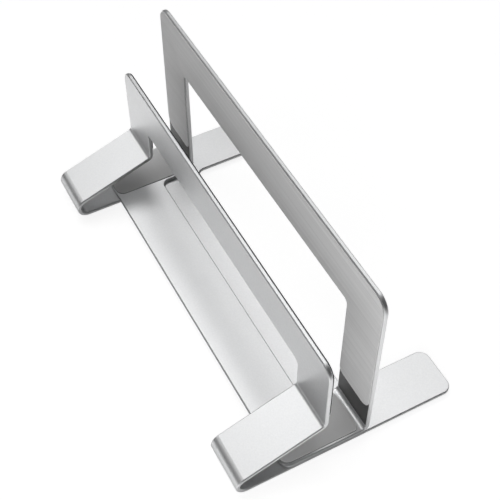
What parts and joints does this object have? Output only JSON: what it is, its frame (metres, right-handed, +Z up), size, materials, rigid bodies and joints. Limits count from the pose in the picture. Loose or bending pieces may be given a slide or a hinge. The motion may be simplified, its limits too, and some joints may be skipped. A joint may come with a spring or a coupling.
{
  "type": "vertical laptop stand",
  "caption": "Vertical laptop stand of folded sheet aluminium: ramped front stand and a taller upright that slides to set the padded slot.",
  "frame": {"origin": "on the desk, under the middle of the stand's bounding box", "axes": "+X along the stand's length, -Y towards the ramped front, +Z up"},
  "size_m": [0.25, 0.1388, 0.122],
  "materials": {
    "anodised_aluminium": "bead-blasted, clear anodised, satin",
    "lined_silicone": "light grey silicone, satin, with very fine lines along its length",
    "slot_rubber": "mid-grey silicone, satin, smooth",
    "foot_rubber": "black, matt",
    "screw_steel": "plain steel"
  },
  "bodies": {
    "stand": {"front_stand": "anodised_aluminium", "front_plate_pad": "lined_silicone", "foot_pad_front_left": "foot_rubber", "foot_pad_front_right": "foot_rubber", "foot_pad_rear_left": "foot_rubber", "foot_pad_rear_right": "foot_rubber"},
    "sliding_frame": {"rear_frame": "anodised_aluminium", "rear_frame_pad": "lined_silicone", "slot_pad_left": "slot_rubber", "slot_pad_right": "slot_rubber", "clamp_screws": "screw_steel"}
  },
  "joints": [
    {"name": "slot_width", "type": "slide", "parent": "stand", "child": "sliding_frame", "axis": [0, 1, 0], "range_m": [-0.008, 0.018]}
  ]
}
